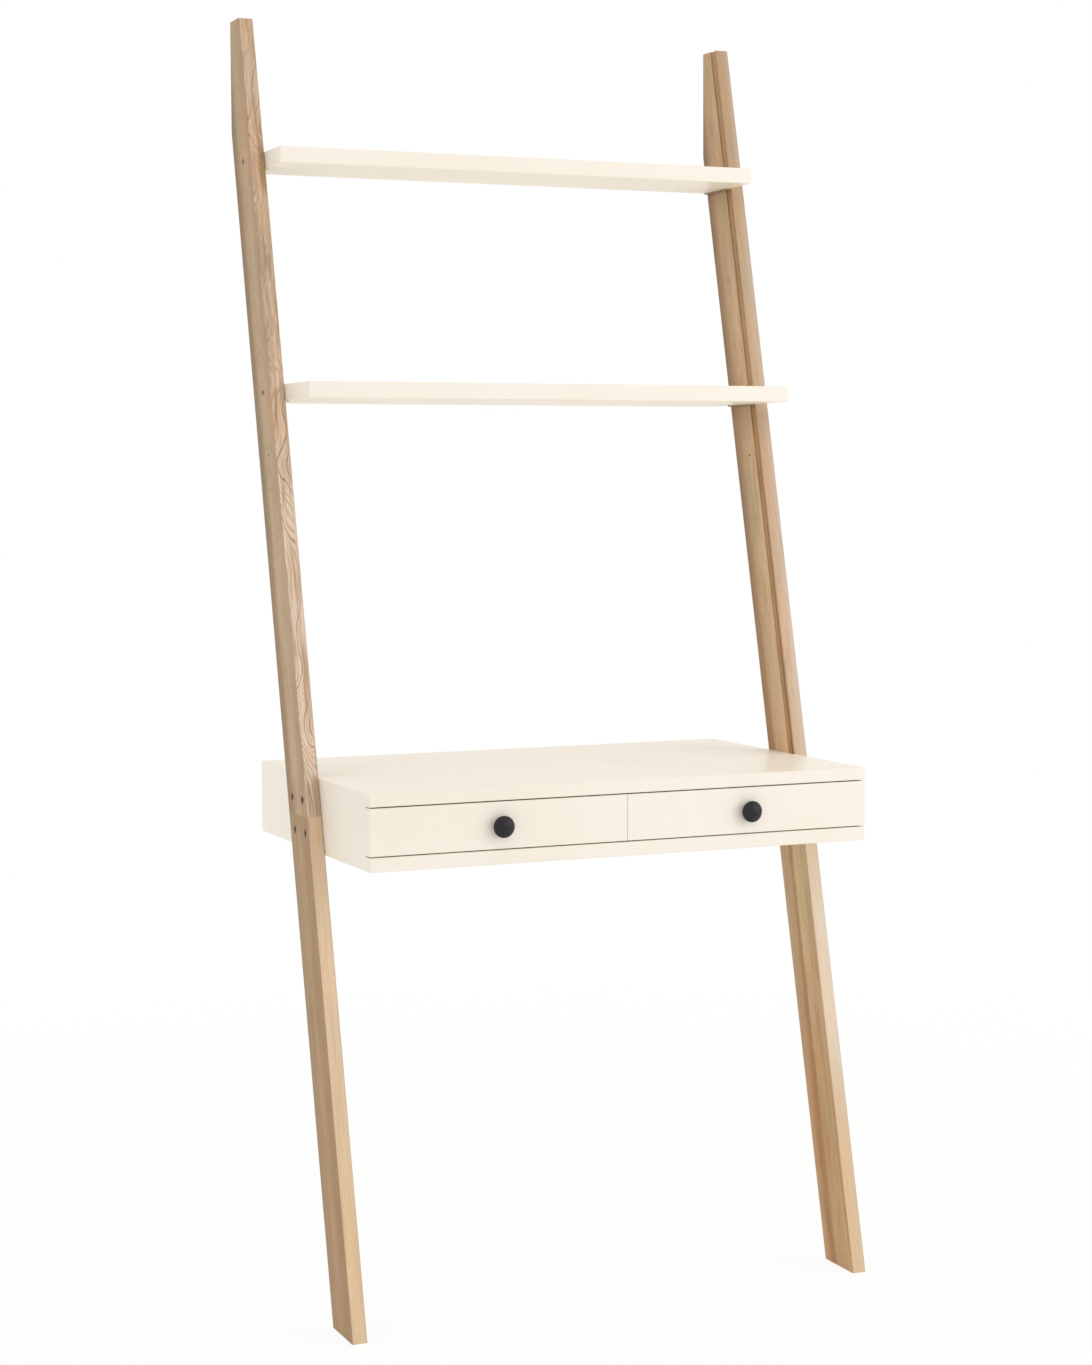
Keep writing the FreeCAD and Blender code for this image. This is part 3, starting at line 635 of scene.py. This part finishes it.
def bronzed_steel():
    """Bronzed steel: dark on the bolts and screws in the rails; the shelf ledges between them get painted
    light, a paler colour for their lit ends.

    The left-hand ledges get the most painted light and are the palest."""
    tree = Tree("bronzed_steel")
    place = tree.coordinates()
    x = tree.split(place)[0]
    blotch = tree.noise(place, 160.0, 3.0)
    mottle = tree.span(blotch, 0.35, 0.65)
    bolt = tree.mix(mottle, (0.140, 0.070, 0.038), (0.200, 0.105, 0.060))
    ledge = tree.mix(mottle, (0.27, 0.205, 0.140), (0.36, 0.275, 0.190))
    # Painted light: the left-hand ledges are made palest, for their lit ends
    ledge = tree.mix(tree.span(x, MIDDLE_BLEND, -MIDDLE_BLEND), ledge, (0.78, 0.66, 0.49))
    in_rail = tree.span(tree.math("ABSOLUTE", x), RAIL_INNER_X + 0.003, RAIL_INNER_X + 0.004)
    tree.bump(tree.noise(place, 1400.0, 2.0), 0.08, 0.0001)
    return tree.finish(tree.mix(in_rail, ledge, bolt), tree.span(blotch, 0.3, 0.7, 0.44, 0.58), 0.30)


def plastic(name, light, dark, roughness):
    """A moulded or coated surface with a fine texture."""
    tree = Tree(name)
    place = tree.coordinates()
    fine = tree.noise(place, 1500.0, 2.0)
    color = tree.mix(tree.span(tree.noise(place, 90.0, 2.0), 0.35, 0.65), dark, light)
    tree.bump(fine, 0.12, 0.0001)
    return tree.finish(color, tree.span(fine, 0.3, 0.7, roughness - 0.05, roughness + 0.05))


MATERIALS = {
    "cream_lacquer": lacquer(),
    "ash_rail": ash("ash_rail", RAIL_LOOKS, RAIL_TONES_AND_PAINTED_SHADE),
    "ash_leg": ash("ash_leg", LEG_LOOKS, LEG_PAINTED_SHADE),
    "drawer_birch": birch(),
    "beech_tongue": beech(),
    "black_knob": metal("black_knob", (0.013, 0.010, 0.013), (0.008, 0.006, 0.008), 0.46, metallic=0.0,
                        scale=300.0, Specular_IOR_Level=0.38),
    "bronzed_steel": bronzed_steel(),
    "bright_steel": metal("bright_steel", (0.66, 0.66, 0.67), (0.50, 0.50, 0.52), 0.32),
    "coated_steel": plastic("coated_steel", (0.82, 0.82, 0.80), (0.76, 0.76, 0.74), 0.38),
    "nylon_roller": plastic("nylon_roller", (0.78, 0.77, 0.73), (0.70, 0.69, 0.65), 0.45),
}

for row in frame["record"]["subparts"]:
    node = nodes[row["node"]]
    node.data.materials.clear()
    node.data.materials.append(MATERIALS[row["material_slot"]])


# Small fasteners, each a lofted stack of rings with the recess of its drive

RING_POINTS = 24
CROSS_WINGS = 4
CROSS_WAIST = 0.42
SHARP_ANGLE = math.radians(30)


def round_ring(height, radius):
    """A circle, as a height and its radius at each point."""
    return height, [radius] * RING_POINTS


def hexagon_ring(height, across_flats):
    """A hexagon, as a height and its radius at each point."""
    sixth = math.pi / 3
    turns = [2 * math.pi * i / RING_POINTS % sixth - sixth / 2 for i in range(RING_POINTS)]
    return height, [across_flats / 2 / math.cos(turn) for turn in turns]


def cross_ring(height, reach):
    """The outline of a cross recess: four wings and a narrow waist between them."""
    per_wing = RING_POINTS // CROSS_WINGS
    waist = reach * CROSS_WAIST
    return height, [reach if i % per_wing in (0, per_wing - 1) else waist for i in range(RING_POINTS)]


def add_rings(mesh, rings, place):
    """Adds one closed body through a stack of rings along its own +Z."""
    angles = [2 * math.pi * (i + 0.5) / RING_POINTS for i in range(RING_POINTS)]
    rows = []
    for height, radii in rings:
        points = [(radius * math.cos(angle), radius * math.sin(angle), height)
                  for radius, angle in zip(radii, angles)]
        rows.append([mesh.verts.new(place @ Vector(point)) for point in points])
    for lower, upper in zip(rows, rows[1:]):
        for i in range(RING_POINTS):
            j = (i + 1) % RING_POINTS
            mesh.faces.new((lower[i], lower[j], upper[j], upper[i]))
    mesh.faces.new(list(reversed(rows[0])))
    mesh.faces.new(rows[-1])


def add_piece(name, slot, body, fill, replaced=()):
    """A detailed piece: fill adds its geometry, and it rides a body with a slot's finish."""
    mesh = bmesh.new()
    fill(mesh)
    data = bpy.data.meshes.new(name)
    mesh.to_mesh(data)
    mesh.free()
    piece = bpy.data.objects.new(name, data)
    bpy.context.scene.collection.objects.link(piece)
    data.materials.append(MATERIALS[slot])
    data.shade_smooth()
    data.set_sharp_from_angle(angle=SHARP_ANGLE)
    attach(piece, body)
    if replaced:
        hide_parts(*replaced)


def facing(place, direction):
    """A matrix that stands a body's +Z along a direction, at a place."""
    return Matrix.Translation(place) @ Vector(direction).to_track_quat("Z", "Y").to_matrix().to_4x4()


def bolt_rings(head, height, shank, length):
    """A flat-headed bolt with a hexagon socket, its head's top at zero; head and shank are radii."""
    socket = head * 0.85
    return [
        round_ring(-height - length, shank * 0.75),
        round_ring(-height - length + shank * 0.3, shank),
        round_ring(-height, shank),
        round_ring(-height, head),
        round_ring(-height * 0.16, head),
        round_ring(0.0, head * 0.93),
        hexagon_ring(0.0, socket * 1.12),
        hexagon_ring(-height * 0.1, socket),
        hexagon_ring(-height * 0.72, socket),
        round_ring(-height * 0.86, head * 0.06),
    ]


def screw_rings(head, height, shank, length):
    """A low pan-headed screw with a cross recess, its head's top at zero; head and shank are radii."""
    return [
        round_ring(-height - length, shank * 0.3),
        round_ring(-height - length + shank * 1.5, shank),
        round_ring(-height, shank),
        round_ring(-height, head * 0.97),
        round_ring(-height * 0.45, head),
        round_ring(-height * 0.12, head * 0.82),
        round_ring(0.0, head * 0.60),
        cross_ring(0.0, head * 0.52),
        cross_ring(-height * 0.55, head * 0.30),
        round_ring(-height * 0.75, head * 0.05),
    ]


BOLT = {"head": 0.006, "height": 0.0025, "shank": 0.003, "length": 0.033}
SHELF_SCREW = {"head": 0.004, "height": 0.0022, "shank": 0.0022, "length": 0.050}
KNOB_SCREW = {"head": 0.004, "height": 0.0020, "shank": 0.0020, "length": 0.026}
LEDGE_SCREW = {"head": 0.0021, "height": 0.0009, "shank": 0.0011, "length": 0.012}
SLIDE_SCREW = {"head": 0.0033, "height": 0.0009, "shank": 0.0015, "length": 0.010}
HEAD_SINK = 0.0007
BOLT_ROW_OFFSET = 0.023
BOLT_INSETS = (0.016, 0.061)
SHELF_SCREW_INSET = 0.036
LEDGE_SCREW_INSETS = (0.028, 0.060)
LEDGE_WIDTH = 0.0065
LEDGE_THICKNESS = 0.002
SLIDE_STEEL = 0.0012
DRAWER_FOOT_MIDDLE = 0.0042
SLIDE_SCREW_SHARES = (0.16, 0.5, 0.84)


def add_desk_bolts(mesh):
    """Four bolts through each rail into the desk, two above the splice and two below it."""
    for sign in SIDES.values():
        for z in (SPLICE_Z + BOLT_ROW_OFFSET, SPLICE_Z - BOLT_ROW_OFFSET):
            for across in BOLT_INSETS:
                place = (sign * (RAIL_OUTER_X - HEAD_SINK), rail_y(z, across), z)
                add_rings(mesh, bolt_rings(**BOLT), facing(place, (sign, 0, 0)))


def add_shelf_screws(mesh):
    """One screw through each rail into the middle of each shelf's end."""
    for sign in SIDES.values():
        for shelf in SHELVES:
            low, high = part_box(shelf)
            z = (low[2] + high[2]) / 2
            place = (sign * (RAIL_OUTER_X - HEAD_SINK), rail_y(z, SHELF_SCREW_INSET), z)
            add_rings(mesh, screw_rings(**SHELF_SCREW), facing(place, (sign, 0, 0)))


def add_ledge_screws(mesh):
    """Two small screws up through each shelf ledge."""
    reach = RAIL_INNER_X - LEDGE_WIDTH / 2
    for shelf in SHELVES:
        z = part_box(shelf)[0][2] - LEDGE_THICKNESS
        for sign in SIDES.values():
            for across in LEDGE_SCREW_INSETS:
                place = (sign * reach, rail_y(z, across), z - LEDGE_SCREW["height"])
                add_rings(mesh, screw_rings(**LEDGE_SCREW), facing(place, (0, 0, -1)))


def knob_screw(side):
    """The screw that holds a knob, seated on the back of its drawer front."""
    low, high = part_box(f"{side}_knob_screw")
    place = ((low[0] + high[0]) / 2, high[1], (low[2] + high[2]) / 2)

    def fill(mesh):
        add_rings(mesh, screw_rings(**KNOB_SCREW), facing(place, (0, 1, 0)))
    return fill


def slide_screws(side, kind):
    """Three screws through each of a drawer's two channels of one kind, fixed or drawer."""
    def fill(mesh):
        for wall in ("inner", "outer"):
            low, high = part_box(f"{side}_{wall}_{kind}_channel")
            toward_bay = 1.0 if (side == "right") == (wall == "inner") else -1.0
            web_x, foot_x = (low[0], high[0]) if toward_bay > 0 else (high[0], low[0])
            for share in SLIDE_SCREW_SHARES:
                y = low[1] + (high[1] - low[1]) * share
                if kind == "fixed":
                    x = web_x + toward_bay * (SLIDE_STEEL + SLIDE_SCREW["height"])
                    place = (x, y, (low[2] + high[2]) / 2)
                    direction = (toward_bay, 0, 0)
                else:
                    place = (foot_x - toward_bay * DRAWER_FOOT_MIDDLE, y, low[2] - SLIDE_SCREW["height"])
                    direction = (0, 0, -1)
                add_rings(mesh, screw_rings(**SLIDE_SCREW), facing(place, direction))
    return fill


add_piece("desk_bolt_heads", "bronzed_steel", "root", add_desk_bolts, ["desk_bolts"])
add_piece("shelf_screw_heads", "bronzed_steel", "root", add_shelf_screws, ["shelf_screws"])
add_piece("ledge_screws", "bronzed_steel", "root", add_ledge_screws)
for side in SIDES:
    add_piece(f"{side}_knob_screw_head", "bright_steel", f"{side}_drawer", knob_screw(side),
              [f"{side}_knob_screw"])
    add_piece(f"{side}_fixed_slide_screws", "bright_steel", "root", slide_screws(side, "fixed"))
    add_piece(f"{side}_drawer_slide_screws", "bright_steel", f"{side}_drawer", slide_screws(side, "drawer"))


# Floor, world and lights

WHITE = (1.0, 1.0, 1.0, 1.0)
FLOOR_COLOR = (0.93, 0.93, 0.93)
FLOOR_REACH = 30.0
FLOOR_DROP = 0.0005
# The white hides most of the floor's shade up to the first of these distances, and all of it from the second
FLOOR_SHADE_DISTANCES = (0.9, 2.4)
NEAR_WHITE = 0.90
WORLD_COLOR = (1.0, 0.974, 0.927, 1.0)
WORLD_STRENGTH = 0.96


def backdrop_rays(tree):
    """1 for the rays that see the plain backdrop: the camera's, and those that reach it by gloss or glass."""
    path = tree.nodes.new("ShaderNodeLightPath")
    either = path.outputs["Is Camera Ray"]
    for kind in ("Is Glossy Ray", "Is Transmission Ray"):
        node = tree.nodes.new("ShaderNodeMath")
        node.operation = "MAXIMUM"
        tree.links.new(either, node.inputs[0])
        tree.links.new(path.outputs[kind], node.inputs[1])
        either = node.outputs[0]
    return either


def add_floor():
    """A plain pale floor that runs far behind the desk and keeps its shadow."""
    mesh = bmesh.new()
    bmesh.ops.create_grid(mesh, x_segments=1, y_segments=1, size=FLOOR_REACH)
    data = bpy.data.meshes.new("floor")
    mesh.to_mesh(data)
    mesh.free()
    floor = bpy.data.objects.new("floor", data)
    floor.location.z = -FLOOR_DROP
    bpy.context.scene.collection.objects.link(floor)
    tree = Tree("floor")
    tree.finish(FLOOR_COLOR, 0.9)
    x, y, _ = tree.split(tree.coordinates())
    white = tree.span(tree.length(x, y), *FLOOR_SHADE_DISTANCES, NEAR_WHITE, 1.0)
    glow = tree.nodes.new("ShaderNodeEmission")
    glow.inputs["Color"].default_value = WHITE
    glow.inputs["Strength"].default_value = 1.0
    blend = tree.nodes.new("ShaderNodeMixShader")
    tree.put(blend.inputs[0], tree.product(backdrop_rays(tree), white))
    tree.links.new(tree.shader.outputs[0], blend.inputs[1])
    tree.links.new(glow.outputs[0], blend.inputs[2])
    tree.links.new(blend.outputs[0], tree.output.inputs["Surface"])
    floor.data.materials.append(tree.material)


def add_world():
    """Even, slightly warm light all round, seen by the camera as plain white."""
    world = bpy.data.worlds.new("world")
    world.use_nodes = True
    tree = world.node_tree
    tree.nodes.clear()
    output = tree.nodes.new("ShaderNodeOutputWorld")
    soft = tree.nodes.new("ShaderNodeBackground")
    soft.inputs["Color"].default_value = WORLD_COLOR
    soft.inputs["Strength"].default_value = WORLD_STRENGTH
    shown = tree.nodes.new("ShaderNodeBackground")
    shown.inputs["Color"].default_value = WHITE
    shown.inputs["Strength"].default_value = 1.0
    blend = tree.nodes.new("ShaderNodeMixShader")
    tree.links.new(backdrop_rays(tree), blend.inputs[0])
    tree.links.new(soft.outputs[0], blend.inputs[1])
    tree.links.new(shown.outputs[0], blend.inputs[2])
    tree.links.new(blend.outputs[0], output.inputs["Surface"])
    bpy.context.scene.world = world


def add_light(name, place, aim, size, power, color):
    """A square soft box that points at a spot."""
    data = bpy.data.lights.new(name, "AREA")
    data.shape = "SQUARE"
    data.size = size
    data.energy = power
    data.color = color
    light = bpy.data.objects.new(name, data)
    light.location = place
    light.rotation_euler = (Vector(aim) - Vector(place)).to_track_quat("-Z", "Y").to_euler()
    bpy.context.scene.collection.objects.link(light)


add_camera()
add_floor()
add_world()
add_light("key", place=(3.0, -2.6, 1.9), aim=(0.0, -0.1, 0.95), size=1.8, power=30.0, color=(0.86, 0.93, 1.0))
add_light("overhead", place=(0.0, -0.8, 4.3), aim=(0.0, 0.0, 0.8), size=2.6, power=3.0, color=PLAIN)

view = bpy.context.scene.view_settings
view.view_transform = "Standard"
